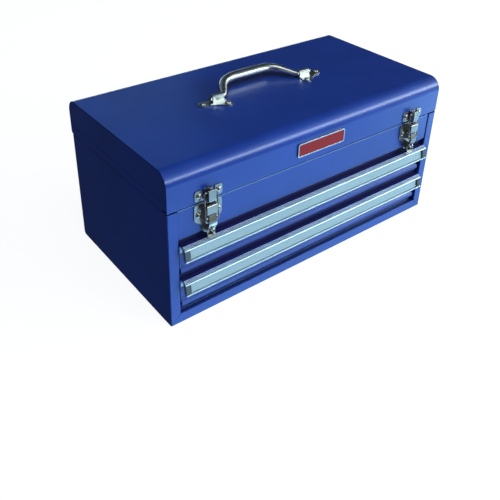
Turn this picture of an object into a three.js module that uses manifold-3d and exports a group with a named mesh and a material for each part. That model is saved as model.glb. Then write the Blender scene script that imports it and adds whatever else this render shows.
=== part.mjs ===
// Steel tool box: a cabinet with two drawers, a hinged lid over a top compartment, two draw latches
// and a folding carry handle. Millimetres, +X to the right, +Y to the back, +Z up.
// The origin is the centre of the cabinet's underside.

import * as THREE from "three";
import { mergeVertices } from "three/addons/utils/BufferGeometryUtils.js";
import Module from "manifold-3d";

// ---------------------------------------------------------------- driving dimensions

const WIDTH = 508;
const DEPTH = 262;
const SEAM_HEIGHT = 181;
const HEIGHT = 237.5;
const SHEET = 0.8;
const GAP = 0.4;
const RIVET_HEAD = [4.2, 2.3];
const SHANK_RADIUS = 1.7;
const HOLE_RADIUS = 2.05;

const STILE_WIDTH = 15.5;
const RAIL_HEIGHT = 15.3;
const RETURN_DEPTH = 12;
const PANEL_RECESS = 1.3;
const PANEL_BOTTOM = 136.4;
const PANEL_TOP = 179.9;
const FLOOR_HEIGHT = 134.6;
const CORNER_RADIUS = 5;
const STILE_TOP = SEAM_HEIGHT - 0.7;
const STILE_CHAMFER = 3.5;
const FLANGE_TOP = SEAM_HEIGHT - 5;

const LID_RADIUS = 20;
const LID_OVERHANG = 5.4;
const LID_BOTTOM = SEAM_HEIGHT + 0.5;
const LID_HALF = WIDTH / 2 - 0.6;
const LID_BAND_TOP = 192.1;
const LID_END_INSET = 2.6;
const HEM_WIDTH = 5;

const HINGE_Y = DEPTH / 2 + 2.7;
const HINGE_Z = 180;
const HINGE_HALF = 250;
const KNUCKLE_RADIUS = 2.75;
const KNUCKLE_COUNT = 9;
const PIN_RADIUS = 1.2;
const PIN_BORE = 1.5;

const DRAWER_PITCH = 55.5;
const LOWER_DRAWER_Z = 24.5;
const DRAWER_FRONT_HEIGHT = 52;
const DRAWER_FRONT_HALF = 234.5;
const TRAY_HALF = 226;
const TRAY_FRONT = 7.5;
const TRAY_BACK = 120;
const TRAY_HEIGHT = 46;
const SLIDE_HALF_HEIGHT = 8.2;
const SLIDE_MIDDLE = 22;
const PULL_HALF = 234.8;
const PULL_CAP = 7.5;
const STRIP_GAP = 2;

// Latch, handle and pull sections are drawn as [k, z]: k is the distance behind the front face.
const LATCH_X = 193;
const LATCH_HALF = 21.25;
const LATCH_RIVET_X = 15.1;
const KEEPER_HALF = 21;
const KEEPER_BOTTOM = 184.5;
const KEEPER_TOP = 199.8;
const KEEPER_RIVET_Z = 192.7;
const HOOK_HALF = 5.5;
const BASE_TOP = 179;
const BASE_WAIST = 159;
const BASE_TIP = 132.6;
const BASE_NECK = 9.5;
const BASE_RIVET_Z = 163.5;
const CHEEK_IN = 6.8;
const CHEEK_OUT = 8;
const HOUSING_BOTTOM = 165.2;
const HOUSING_TOP = 178.5;
const LEVER_HALF = 6.3;
const LEVER_PIVOT = [-6, 158];
const LOOP_PIVOT = [-9, 154];
const LOOP_BAR = [-5.6, 196.4];
const LOOP_HALF = 10;
const WIRE_RADIUS = 1;
const EYE_CENTRE = [-6, 139.25];
const EYE_RADIUS = 6.75;

const HANDLE_PIVOT = [4.6, HEIGHT + 5.6];
const HANDLE_ROD = 3.4;
const LEG_RADIUS = 4.2;
const CORNER_BAR_RADIUS = 6.6;
const GRIP_RADIUS = 7.3;
const GRIP_Y = 41;
const GRIP_Z = HEIGHT + 11.9;

const FRONT = -DEPTH / 2;
const BACK = DEPTH / 2;
const HALF = WIDTH / 2;

// ---------------------------------------------------------------- finishes

const BLUE_PAINT = { color: 0x2f4fa8, roughness: 0.38, metalness: 0.15 };
const DARK_STEEL = { color: 0x23262c, roughness: 0.5, metalness: 0.8 };
const ZINC = { color: 0xb9bec4, roughness: 0.35, metalness: 0.95 };
const CHROME = { color: 0xd9dce0, roughness: 0.18, metalness: 1 };
const ALUMINIUM = { color: 0xc9d3e4, roughness: 0.32, metalness: 0.9 };
const PALE_STRIP = { color: 0xb8c8e6, roughness: 0.45, metalness: 0.1 };
const GREY_PLASTIC = { color: 0x8d98ad, roughness: 0.55, metalness: 0 };
const RED_ENAMEL = { color: 0xa52d32, roughness: 0.35, metalness: 0.2 };

// ---------------------------------------------------------------- solids

const wasm = await Module();
wasm.setup();

function solid(geometry) {
  geometry.deleteAttribute("normal");
  geometry.deleteAttribute("uv");
  const merged = mergeVertices(geometry, 1e-4);
  return new wasm.Manifold(
    new wasm.Mesh({
      numProp: 3,
      vertProperties: merged.attributes.position.array,
      triVerts: Uint32Array.from(merged.index.array),
    }),
  );
}

const join = (...solids) => solids.reduce((all, next) => all.add(next));
const cut = (body, ...tools) => tools.reduce((left, tool) => left.subtract(tool), body);

function box([x0, x1], [y0, y1], [z0, z1]) {
  const size = [Math.abs(x1 - x0), Math.abs(y1 - y0), Math.abs(z1 - z0)];
  const geometry = new THREE.BoxGeometry(...size);
  return solid(geometry.translate((x0 + x1) / 2, (y0 + y1) / 2, (z0 + z1) / 2));
}

function extrude(shape, length, segments = 6) {
  const options = { depth: length, bevelEnabled: false, curveSegments: segments };
  return new THREE.ExtrudeGeometry(shape, options);
}

const outline = (points) => new THREE.Shape(points.map(([a, b]) => new THREE.Vector2(a, b)));

// A section of (y, z) points carried from x0 to x1.
function alongX(points, x0, x1) {
  const start = Math.min(x0, x1);
  const axes = new THREE.Matrix4().set(0, 0, 1, start, 1, 0, 0, 0, 0, 1, 0, 0, 0, 0, 0, 1);
  return solid(extrude(outline(points), Math.abs(x1 - x0)).applyMatrix4(axes));
}

// A face drawn in x and z, carried from yFront to yBack.
function alongY(shape, yFront, yBack) {
  const geometry = extrude(shape, yBack - yFront).rotateX(Math.PI / 2);
  return solid(geometry.translate(0, yBack, 0));
}

function alongZ(shape, z0, z1) {
  return solid(extrude(shape, z1 - z0, 8).translate(0, 0, z0));
}

function cylinderX([y, z], radius, x0, x1, sides = 16) {
  const geometry = new THREE.CylinderGeometry(radius, radius, Math.abs(x1 - x0), sides);
  return solid(geometry.rotateZ(Math.PI / 2).translate((x0 + x1) / 2, y, z));
}

function cylinderY([x, z], radius, y0, y1, sides = 12) {
  const geometry = new THREE.CylinderGeometry(radius, radius, Math.abs(y1 - y0), sides);
  return solid(geometry.translate(0, (y0 + y1) / 2, 0).translate(x, 0, z));
}

function cylinderZ([x, y], radius, z0, z1, sides = 12) {
  const geometry = new THREE.CylinderGeometry(radius, radius, z1 - z0, sides);
  return solid(geometry.rotateX(Math.PI / 2).translate(x, y, (z0 + z1) / 2));
}

// Points on an arc about a centre, from one angle to another, in degrees.
function arc([a, b], radius, from, to, steps = 6) {
  return Array.from({ length: steps + 1 }, (_, i) => {
    const angle = THREE.MathUtils.degToRad(from + ((to - from) * i) / steps);
    return [a + radius * Math.cos(angle), b + radius * Math.sin(angle)];
  });
}

// The unit normal to the right of the line from one point to another.
function rightNormal([a0, b0], [a1, b1]) {
  return new THREE.Vector2(b1 - b0, a0 - a1).normalize();
}

function roundedRectangle([x0, x1], [z0, z1], radius) {
  const shape = new THREE.Shape();
  shape.moveTo(x0 + radius, z0);
  shape.lineTo(x1 - radius, z0);
  shape.absarc(x1 - radius, z0 + radius, radius, -Math.PI / 2, 0);
  shape.absarc(x1 - radius, z1 - radius, radius, 0, Math.PI / 2);
  shape.absarc(x0 + radius, z1 - radius, radius, Math.PI / 2, Math.PI);
  shape.absarc(x0 + radius, z0 + radius, radius, Math.PI, 1.5 * Math.PI);
  return shape;
}

// The section of a bent sheet: an open run of points and the same run set off to its right.
function bentSheet(points, thickness) {
  const normals = points.slice(1).map((point, i) => rightNormal(points[i], point));
  const offset = points.map(([a, b], i) => {
    const before = normals[Math.max(i - 1, 0)];
    const after = normals[Math.min(i, normals.length - 1)];
    const mean = before.clone().add(after).normalize();
    const reach = thickness / mean.dot(before);
    return [a + mean.x * reach, b + mean.y * reach];
  });
  return [...points, ...offset.reverse()];
}

// A wire through exactly the given points: one ring at each point.
class WirePath extends THREE.Curve {
  constructor(points) {
    super();
    this.points = points.map((p) => new THREE.Vector3(...p));
  }
  getPointAt(u) {
    return this.points[Math.round(u * (this.points.length - 1))].clone();
  }
  getTangentAt(u) {
    const last = this.points.length - 1;
    const i = Math.round(u * last);
    const before = this.points[Math.max(i - 1, 0)];
    const after = this.points[Math.min(i + 1, last)];
    return after.clone().sub(before).normalize();
  }
}

function wire(points, radius, sides = 8) {
  const section = outline(arc([0, 0], radius, 0, 360, sides).slice(0, sides));
  const options = { steps: points.length - 1, extrudePath: new WirePath(points), bevelEnabled: false };
  return solid(new THREE.ExtrudeGeometry(section, options));
}

// A bar whose radius changes from point to point: a thin wire whose rings are then widened.
function taperedBar(route, sides) {
  const centres = route.map(([x, y, z]) => new THREE.Vector3(x, y, z));
  const section = outline(arc([0, 0], 1, 0, 360, sides).slice(0, sides));
  const path = new WirePath(route.map(([x, y, z]) => [x, y, z]));
  const options = { steps: route.length - 1, extrudePath: path, bevelEnabled: false };
  const geometry = new THREE.ExtrudeGeometry(section, options);
  const position = geometry.getAttribute("position");
  const point = new THREE.Vector3();
  for (let i = 0; i < position.count; i += 1) {
    point.fromBufferAttribute(position, i);
    const distances = centres.map((centre) => centre.distanceTo(point));
    const ring = distances.indexOf(Math.min(...distances));
    point.sub(centres[ring]).multiplyScalar(route[ring][3]).add(centres[ring]);
    position.setXYZ(i, point.x, point.y, point.z);
  }
  return solid(geometry);
}

// A domed rivet with its shank, pointing along +Z, seated at z = 0.
function rivetGeometry(headRadius, headHeight, shankRadius, shankLength) {
  const profile = [
    [0, -shankLength],
    [shankRadius, -shankLength],
    [shankRadius, 0],
    [headRadius, 0],
    [headRadius * 0.92, headHeight * 0.45],
    [headRadius * 0.6, headHeight * 0.88],
    [0, headHeight],
  ];
  const points = profile.map(([r, h]) => new THREE.Vector2(r, h));
  return new THREE.LatheGeometry(points, 12).rotateX(Math.PI / 2);
}

const object = new THREE.Group();

function add(name, body, finish) {
  const { vertProperties, triVerts } = body.getMesh();
  const geometry = new THREE.BufferGeometry();
  geometry.setAttribute("position", new THREE.BufferAttribute(vertProperties, 3));
  geometry.setIndex(new THREE.BufferAttribute(triVerts, 1));
  geometry.computeVertexNormals();
  const mesh = new THREE.Mesh(geometry, new THREE.MeshStandardMaterial(finish));
  mesh.name = name;
  object.add(mesh);
}

const SIDES = [
  ["left", -1],
  ["right", 1],
];

// ---------------------------------------------------------------- cabinet

function sidePanel(side) {
  const inner = HALF - SHEET;
  const stileInner = HALF - STILE_WIDTH;
  const wall = [
    [FRONT, 0],
    ...arc([BACK - CORNER_RADIUS, CORNER_RADIUS], CORNER_RADIUS, -90, 0, 5),
    [BACK, SEAM_HEIGHT],
    [FRONT, SEAM_HEIGHT],
  ];
  const stile = [
    [side * HALF, GAP],
    [side * stileInner, STILE_WIDTH + GAP],
    [side * stileInner, STILE_TOP - STILE_CHAMFER],
    [side * (stileInner + STILE_CHAMFER), STILE_TOP],
    [side * HALF, STILE_TOP],
  ];
  const returnX = [side * stileInner, side * (stileInner + SHEET)];
  const rearY = [BACK - 4.4, BACK - 4.4 + SHEET];
  return join(
    alongX(wall, side * inner, side * HALF),
    alongY(outline(stile), FRONT, FRONT + SHEET),
    box(returnX, [FRONT + 0.2, FRONT + RETURN_DEPTH], [STILE_WIDTH + 2, FLANGE_TOP]),
    box([side * (HALF - 14), side * (inner + 0.2)], rearY, [8, FLANGE_TOP]),
  );
}

function bottomPan() {
  const half = HALF - SHEET - GAP;
  const section = [
    [BACK, 20.4],
    ...arc([BACK - CORNER_RADIUS, CORNER_RADIUS], CORNER_RADIUS, 0, -90, 5),
    [FRONT, 0],
  ];
  const mitreX = HALF - RAIL_HEIGHT - GAP;
  const rail = [
    [-half, 0],
    [half, 0],
    [half, SHEET],
    [mitreX, RAIL_HEIGHT],
    [-mitreX, RAIL_HEIGHT],
    [-half, SHEET],
  ];
  const ledgeHalf = HALF - STILE_WIDTH - GAP;
  const upstandY = [FRONT + 7.8, FRONT + 9];
  return join(
    alongX(bentSheet(section, SHEET), -half, half),
    alongY(outline(rail), FRONT, FRONT + SHEET),
    box([-ledgeHalf, ledgeHalf], [FRONT, upstandY[1]], [RAIL_HEIGHT - SHEET, RAIL_HEIGHT]),
    box([-ledgeHalf + 2, ledgeHalf - 2], upstandY, [RAIL_HEIGHT - SHEET, LOWER_DRAWER_Z - 0.5]),
  );
}

function backPanel() {
  const half = HALF - SHEET - GAP;
  const joggle = BACK - SHEET - GAP;
  const section = [
    [BACK, 177.5],
    [BACK, 22.8],
    [joggle, 21],
    [joggle, 7],
  ];
  return alongX(bentSheet(section, SHEET), -half, half);
}

function upperFrontPanel() {
  const half = HALF - STILE_WIDTH - GAP;
  const face = FRONT + PANEL_RECESS;
  const section = [
    [face + 9, PANEL_BOTTOM],
    [face, PANEL_BOTTOM],
    [face, PANEL_TOP],
    [face + 9, PANEL_TOP],
  ];
  return alongX(bentSheet(section, SHEET), -half, half);
}

function compartmentFloor() {
  const half = HALF - SHEET - GAP;
  const frontHalf = HALF - STILE_WIDTH - GAP;
  const level = [FLOOR_HEIGHT, FLOOR_HEIGHT + SHEET];
  const behindReturn = FRONT + RETURN_DEPTH + GAP;
  return join(
    box([-half, half], [behindReturn, BACK - 4.8], level),
    box([-frontHalf, frontHalf], [FRONT + 3, behindReturn + 1], level),
  );
}

// ---------------------------------------------------------------- piano hinge

const knuckleSpan = (2 * HINGE_HALF) / KNUCKLE_COUNT;

function hingeLeaf(firstKnuckle, plateY, plateZ, tabZ) {
  const plate = box([-HINGE_HALF + 2, HINGE_HALF - 2], plateY, plateZ);
  const knuckles = [];
  for (let i = firstKnuckle; i < KNUCKLE_COUNT; i += 2) {
    const x0 = -HINGE_HALF + i * knuckleSpan + GAP;
    const x1 = x0 + knuckleSpan - 2 * GAP;
    const tab = box([Math.max(x0, -HINGE_HALF + 2), Math.min(x1, HINGE_HALF - 2)], plateY, tabZ);
    knuckles.push(cylinderX([HINGE_Y, HINGE_Z], KNUCKLE_RADIUS, x0, x1, 14), tab);
  }
  const bore = cylinderX([HINGE_Y, HINGE_Z], PIN_BORE, -HALF, HALF, 12);
  return cut(join(plate, ...knuckles), bore);
}

function bodyHingeLeaf() {
  return hingeLeaf(0, [BACK + 0.3, BACK + 1.3], [158, 176.6], [176, 180.4]);
}

function lidHingeLeaf() {
  return hingeLeaf(1, [HINGE_Y + 0.2, HINGE_Y + 1.2], [183.4, 200], [181.8, 184]);
}

// ---------------------------------------------------------------- lid

function lidSection() {
  const back = BACK + LID_OVERHANG;
  return [
    [FRONT + 9, LID_BOTTOM],
    [FRONT, LID_BOTTOM],
    ...arc([FRONT + LID_RADIUS, HEIGHT - LID_RADIUS], LID_RADIUS, 180, 90, 8),
    ...arc([back - LID_RADIUS, HEIGHT - LID_RADIUS], LID_RADIUS, 90, 0, 8),
    [back, HINGE_Z + KNUCKLE_RADIUS + 0.7],
  ];
}

function lidShell() {
  const hemStart = LID_HALF - HEM_WIDTH;
  const section = lidSection();
  return join(
    alongX(bentSheet(section, SHEET), -LID_HALF, LID_HALF),
    alongX(bentSheet(section, 2 * SHEET), hemStart, LID_HALF),
    alongX(bentSheet(section, 2 * SHEET), -LID_HALF, -hemStart),
  );
}

function lidEndCap(side) {
  const radius = LID_RADIUS - LID_END_INSET;
  const front = FRONT + LID_END_INSET;
  const back = BACK + LID_OVERHANG - LID_END_INSET;
  const top = HEIGHT - LID_END_INSET;
  const bottom = LID_BOTTOM + LID_END_INSET;
  const face = [
    [front, bottom],
    ...arc([front + radius, top - radius], radius, 180, 90, 8),
    ...arc([back - radius, top - radius], radius, 90, 0, 8),
    [back, bottom],
  ];
  return join(
    alongX(face, side * (LID_HALF - SHEET), side * LID_HALF),
    box([side * (LID_HALF - SHEET), side * HALF], [FRONT + 10.5, back], [LID_BOTTOM, LID_BAND_TOP]),
  );
}

// ---------------------------------------------------------------- rivets and their holes

function frontRivet(x, z, seatY, length) {
  const geometry = rivetGeometry(...RIVET_HEAD, SHANK_RADIUS, length).rotateX(Math.PI / 2);
  return solid(geometry.translate(x, seatY, z));
}

function topRivet(x, y, seatZ, length) {
  return solid(rivetGeometry(...RIVET_HEAD, SHANK_RADIUS, length).translate(x, y, seatZ));
}

function frontHoles(places) {
  return places.map(([x, z]) => cylinderY([x, z], HOLE_RADIUS, FRONT - 4, FRONT + 4));
}

function topHoles(places) {
  return places.map((place) => cylinderZ(place, HOLE_RADIUS, HEIGHT - 3, HEIGHT + 3));
}

const latchRivets = (side, z) => [-1, 1].map((end) => [side * LATCH_X + end * LATCH_RIVET_X, z]);

// ---------------------------------------------------------------- draw latch

const fromFront = ([k, z]) => [FRONT + k, z];

// A riveted plate with a hook pressed forward between its two ears, open above for the loop.
function keeper(side) {
  const x = side * LATCH_X;
  const [left, right] = [x - KEEPER_HALF, x + KEEPER_HALF];
  const face = roundedRectangle([left, right], [KEEPER_BOTTOM, KEEPER_TOP], 4);
  const slots = [-1, 1].map((end) => {
    const acrossEar = [x + end * (HOOK_HALF + 0.4), x + end * LOOP_HALF];
    return box(acrossEar, [FRONT - 3, FRONT + 1], [KEEPER_BOTTOM + 2.3, KEEPER_TOP + 1]);
  });
  const holes = frontHoles(latchRivets(side, KEEPER_RIVET_Z));
  const plate = cut(alongY(face, FRONT - 1.3, FRONT - 0.3), ...slots, ...holes);
  const hookBottom = KEEPER_BOTTOM - 1.5;
  const cheeks = [-1, 1].map((end) => {
    const ends = [x + end * (HOOK_HALF - 1.1), x + end * HOOK_HALF];
    return box(ends, [FRONT - 9.5, FRONT - 0.3], [hookBottom, LOOP_BAR[1] - 1.4]);
  });
  const hookX = [x - HOOK_HALF, x + HOOK_HALF];
  return join(
    plate,
    ...cheeks,
    box(hookX, [FRONT - 10, FRONT - 8.9], [hookBottom, KEEPER_TOP + 0.7]),
    box(hookX, [FRONT - 10, FRONT - 0.3], [hookBottom, hookBottom + 1.1]),
  );
}

// A round-nosed plate that stands out of the base through the lever's slot, with a padlock hole.
function padlockEye(x) {
  const thickness = 1.6;
  const ends = [x - thickness / 2, x + thickness / 2];
  const [, middle] = EYE_CENTRE;
  const plate = [
    [0.4, middle + EYE_RADIUS],
    ...arc(EYE_CENTRE, EYE_RADIUS, 90, 270, 10),
    [0.4, middle - EYE_RADIUS],
  ].map(fromFront);
  const hole = cylinderX(fromFront([-9.3, middle]), 2.3, x - 2, x + 2, 12);
  return cut(alongX(plate, ...ends), hole);
}

function latchBase(side) {
  const x = side * LATCH_X;
  const plate = new THREE.Shape();
  const [left, right] = [x - LATCH_HALF, x + LATCH_HALF];
  const [neckLeft, neckRight] = [x - BASE_NECK, x + BASE_NECK];
  plate.moveTo(left, BASE_TOP);
  plate.lineTo(left, BASE_WAIST);
  plate.bezierCurveTo(left, 149, neckLeft, 153, neckLeft, 142);
  plate.bezierCurveTo(neckLeft, 136, x - 5.5, BASE_TIP, x, BASE_TIP);
  plate.bezierCurveTo(x + 5.5, BASE_TIP, neckRight, 136, neckRight, 142);
  plate.bezierCurveTo(neckRight, 153, right, 149, right, BASE_WAIST);
  plate.lineTo(right, BASE_TOP);
  const cheek = [
    [0.2, HOUSING_TOP],
    [-8.5, HOUSING_TOP],
    [-10, HOUSING_TOP - 1.5],
    [-10, HOUSING_BOTTOM],
    [-5.2, HOUSING_BOTTOM],
    [-5.2, 154.8],
    [0.2, 153.5],
  ].map(fromFront);
  const housingX = [x - CHEEK_OUT, x + CHEEK_OUT];
  const parts = [
    alongY(plate, FRONT, FRONT + 1),
    padlockEye(x),
    box(housingX, [FRONT - 10, FRONT - 8.9], [HOUSING_BOTTOM, HOUSING_TOP - 1.5]),
    box(housingX, [FRONT - 8.8, FRONT + 0.2], [HOUSING_TOP - 1.1, HOUSING_TOP]),
    box(housingX, [FRONT - 9.6, FRONT - 8.4], [HOUSING_TOP - 2.5, HOUSING_TOP - 0.5]),
  ];
  for (const end of [-1, 1]) {
    const ends = [x + end * CHEEK_IN, x + end * CHEEK_OUT];
    parts.push(alongX(cheek, ...ends));
    parts.push(cylinderX(fromFront(LEVER_PIVOT), 3.2, ...ends));
  }
  const bore = cylinderX(fromFront(LEVER_PIVOT), PIN_BORE, x - 12, x + 12, 12);
  return cut(join(...parts), bore, ...frontHoles(latchRivets(side, BASE_RIVET_Z)));
}

function latchLever(side) {
  const x = side * LATCH_X;
  const [left, right] = [x - LEVER_HALF, x + LEVER_HALF];
  const tongue = bentSheet(
    [
      [-11, 149],
      [-10.2, 146.8],
      [-6.4, 139.5],
      [-5.8, 135.5],
      [-7, 131.6],
      [-10, 128.6],
    ],
    -1.2,
  ).map(fromFront);
  const bulge = [
    ...arc(LEVER_PIVOT, 5, 20, 128, 6),
    [-12.4, 157.4],
    ...arc(LOOP_PIVOT, 2.4, 180, 290, 5),
    [-4.6, 153.4],
  ].map(fromFront);
  const neck = [
    [-11.4, 153],
    [-11, 149],
    [-9.6, 148.2],
    [-7.6, 152.4],
  ].map(fromFront);
  const face = new THREE.Shape();
  face.moveTo(x - 5, 166);
  face.lineTo(left, 153);
  face.lineTo(left, 133.5);
  face.bezierCurveTo(left, 125.6, right, 125.6, right, 133.5);
  face.lineTo(right, 153);
  face.lineTo(x + 5, 166);
  const width = [left - 0.5, right + 0.5];
  const blank = join(...[tongue, bulge, neck].map((section) => alongX(section, ...width)));
  const [, eyeMiddle] = EYE_CENTRE;
  const slotZ = [eyeMiddle - EYE_RADIUS - 0.6, eyeMiddle + EYE_RADIUS + 0.6];
  const slot = box([x - 1.9, x + 1.9], [FRONT - 12, FRONT], slotZ);
  const ring = cylinderX(fromFront(LOOP_PIVOT), WIRE_RADIUS + 0.35, x - 12, x + 12, 12);
  const bore = cylinderX(fromFront(LEVER_PIVOT), PIN_BORE, x - 12, x + 12, 12);
  return cut(blank.intersect(alongY(face, FRONT - 16, FRONT)), slot, ring, bore);
}

function latchPin(side) {
  const x = side * LATCH_X;
  return cylinderX(fromFront(LEVER_PIVOT), PIN_RADIUS, x - 8.5, x + 8.5, 12);
}

function latchLoop(side) {
  const x = side * LATCH_X;
  const [low, high] = [fromFront(LOOP_PIVOT), fromFront(LOOP_BAR)];
  const length = Math.hypot(high[0] - low[0], high[1] - low[1]);
  const along = (distance) => {
    const t = distance / length;
    return [low[0] + (high[0] - low[0]) * t, low[1] + (high[1] - low[1]) * t];
  };
  const bend = 3;
  const corner = LOOP_HALF - bend;
  const halves = [-1, 1].map((end) => {
    const flat = [
      [-1, 0],
      ...arc([corner, bend], bend, -90, 0, 3),
      ...arc([corner, length - bend], bend, 0, 90, 3),
      [-1, length],
    ];
    return wire(flat.map(([across, up]) => [x + end * across, ...along(up)]), WIRE_RADIUS);
  });
  return join(...halves);
}

// ---------------------------------------------------------------- carry handle

const BRACKET_TOP = HEIGHT + 1.4;
const SADDLE_X = [73, 92.5];
const OUTER_EAR = [109, 3];
const INNER_EAR = [76, -13];

function handleBracket(side) {
  const base = [HEIGHT + 0.3, BRACKET_TOP];
  const ear = 7.2;
  const [outer, inner] = [OUTER_EAR, INNER_EAR].map(([x, y]) => [side * x, y]);
  const web = [
    [side * 69, -14],
    [side * 80, -19],
    [side * 112, -3.5],
    [side * 111, 9.9],
    [side * SADDLE_X[0], 10],
  ];
  const saddle = [
    [HANDLE_PIVOT[0] - 4.7, HEIGHT + 0.3],
    ...arc(HANDLE_PIVOT, 4.7, 180, 0, 10),
    [HANDLE_PIVOT[0] + 4.7, HEIGHT + 0.3],
  ];
  const body = join(
    alongZ(outline(web), ...base),
    cylinderZ(outer, ear, ...base, 20),
    cylinderZ(inner, ear, ...base, 20),
    alongX(saddle, side * SADDLE_X[0], side * SADDLE_X[1]),
  );
  const bore = cylinderX(HANDLE_PIVOT, HANDLE_ROD + 0.4, side * 60, side * 94.5, 20);
  return cut(body, bore, ...topHoles([outer, inner]));
}

// Half of the bar's route, from its end in the saddle to the middle of the grip: x, y, z and radius.
function handleRoute() {
  const [pivotY, pivotZ] = HANDLE_PIVOT;
  return [
    [94.5, pivotY, pivotZ, HANDLE_ROD],
    [72, pivotY, pivotZ, HANDLE_ROD],
    [68.6, 6.6, pivotZ + 0.4, LEG_RADIUS - 0.4],
    [63, 14, pivotZ + 1.9, LEG_RADIUS],
    [50, 31.6, GRIP_Z - 1.8, CORNER_BAR_RADIUS - 0.6],
    [45.4, 36.4, GRIP_Z - 0.8, CORNER_BAR_RADIUS],
    [38.6, GRIP_Y - 1.4, GRIP_Z - 0.2, CORNER_BAR_RADIUS + 0.3],
    [30, GRIP_Y, GRIP_Z, GRIP_RADIUS - 0.1],
    [12, GRIP_Y, GRIP_Z, GRIP_RADIUS],
  ];
}

function carryHandle() {
  const half = handleRoute();
  const other = half.map(([x, ...rest]) => [-x, ...rest]).reverse();
  const stops = SIDES.map(([, side]) => {
    return cylinderX(HANDLE_PIVOT, HANDLE_ROD + 0.5, side * 93.2, side * 95.6);
  });
  return join(taperedBar([...half, ...other], 12), ...stops);
}

// ---------------------------------------------------------------- name plate

function namePlate() {
  const rim = 1.7;
  const [x, z] = [
    [-45, 43],
    [192.5, 213.5],
  ];
  const plate = alongY(roundedRectangle(x, z, 3.2), FRONT - 2, FRONT - 0.3);
  const field = roundedRectangle([x[0] + rim, x[1] - rim], [z[0] + rim, z[1] - rim], 1.8);
  return cut(plate, alongY(field, FRONT - 3, FRONT - 1.5));
}

// ---------------------------------------------------------------- drawers

function drawerFront(z0) {
  const top = z0 + DRAWER_FRONT_HEIGHT;
  const section = [
    [7, z0],
    [2.5, z0],
    [2.5, z0 + 5.4],
    [6, z0 + 9],
    [6, top],
    [14, top],
  ].map(fromFront);
  return alongX(bentSheet(section, SHEET), -DRAWER_FRONT_HALF, DRAWER_FRONT_HALF);
}

function drawerTray(z0) {
  const bottom = z0 + 0.6;
  const top = z0 + TRAY_HEIGHT;
  const outer = box([-TRAY_HALF, TRAY_HALF], [FRONT + TRAY_FRONT, TRAY_BACK], [bottom, top]);
  const innerHalf = TRAY_HALF - SHEET;
  const innerY = [FRONT + TRAY_FRONT + SHEET, TRAY_BACK - SHEET];
  return cut(outer, box([-innerHalf, innerHalf], innerY, [bottom + SHEET, top + 5]));
}

// The pull's section: a ribbed sloping top, two front lips and the channel wall between them.
function pullSection(z0) {
  return [
    [5.6, z0 + 46.6],
    [-3, z0 + 46.6],
    [-8, z0 + 43.2],
    [-8.3, z0 + 41.4],
    [-4.2, z0 + 41.2],
    [-6.9, z0 + 27],
    [-10.6, z0 + 26.8],
    [-10.9, z0 + 25],
    [-6.4, z0 + 25],
    [-5.4, z0 + 26],
    [-2.4, z0 + 41.6],
    [-1.6, z0 + 43.6],
    [4.2, z0 + 43.6],
    [4.2, z0 + 33],
    [5.6, z0 + 33],
  ].map(fromFront);
}

function drawerPull(z0) {
  return alongX(pullSection(z0), -PULL_HALF, PULL_HALF);
}

// The ribbed strip that lies in the channel, with a small gap to each end cap.
function labelStrip(z0) {
  const section = [
    [-5.9, z0 + 40.6],
    [-4.7, z0 + 40.6],
    [-7.2, z0 + 27.6],
    [-8.4, z0 + 27.6],
  ].map(fromFront);
  const half = PULL_HALF - PULL_CAP - STRIP_GAP;
  return alongX(section, -half, half);
}

function pullEndCap(z0, side) {
  const section = [
    [-8.5, z0 + 40.8],
    [-4.6, z0 + 40.8],
    [-7.2, z0 + 27.4],
    [-10.7, z0 + 27.4],
  ].map(fromFront);
  return alongX(section, side * (PULL_HALF - PULL_CAP), side * PULL_HALF);
}

// A slide member: a channel with its web on one side and two flanges.
function channel(webX, flangeX, yRange, middle, halfHeight) {
  const top = [middle + halfHeight - SHEET, middle + halfHeight];
  const bottom = [middle - halfHeight, middle - halfHeight + SHEET];
  return join(
    box(webX, yRange, [middle - halfHeight, middle + halfHeight]),
    box(flangeX, yRange, top),
    box(flangeX, yRange, bottom),
  );
}

function cabinetSlide(z0, side) {
  const middle = z0 + SLIDE_MIDDLE;
  const yRange = [FRONT + 10, BACK - 11];
  const web = [side * 236.7, side * 237.9];
  const footX = [side * 237.6, side * (HALF - SHEET - GAP)];
  const foot = (y) => box(footX, [y, y + 10], [middle - 5, middle + 5]);
  return join(
    channel(web, [side * 230.5, side * 237], yRange, middle, SLIDE_HALF_HEIGHT),
    foot(FRONT + RETURN_DEPTH + 6),
    foot(BACK - 30),
  );
}

function drawerRail(z0, side) {
  const middle = z0 + SLIDE_MIDDLE;
  const yRange = [FRONT + 11, BACK - 13];
  const web = [side * (TRAY_HALF + 0.3), side * (TRAY_HALF + 1.5)];
  const flange = [side * (TRAY_HALF + 1), side * 235.8];
  return channel(web, flange, yRange, middle, SLIDE_HALF_HEIGHT - SHEET - 0.6);
}

// ---------------------------------------------------------------- assembly

for (const [name, side] of SIDES) add(name + "_side_panel", sidePanel(side), BLUE_PAINT);
add("bottom_pan", bottomPan(), BLUE_PAINT);
add("back_panel", backPanel(), BLUE_PAINT);
const panelHoles = SIDES.flatMap(([, side]) => frontHoles(latchRivets(side, BASE_RIVET_Z)));
add("upper_front_panel", cut(upperFrontPanel(), ...panelHoles), BLUE_PAINT);
add("compartment_floor", compartmentFloor(), BLUE_PAINT);
add("body_hinge_leaf", bodyHingeLeaf(), ZINC);
add("lid_hinge_leaf", lidHingeLeaf(), ZINC);
add("hinge_pin", cylinderX([HINGE_Y, HINGE_Z], PIN_RADIUS, -HINGE_HALF, HINGE_HALF, 10), ZINC);

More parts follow.
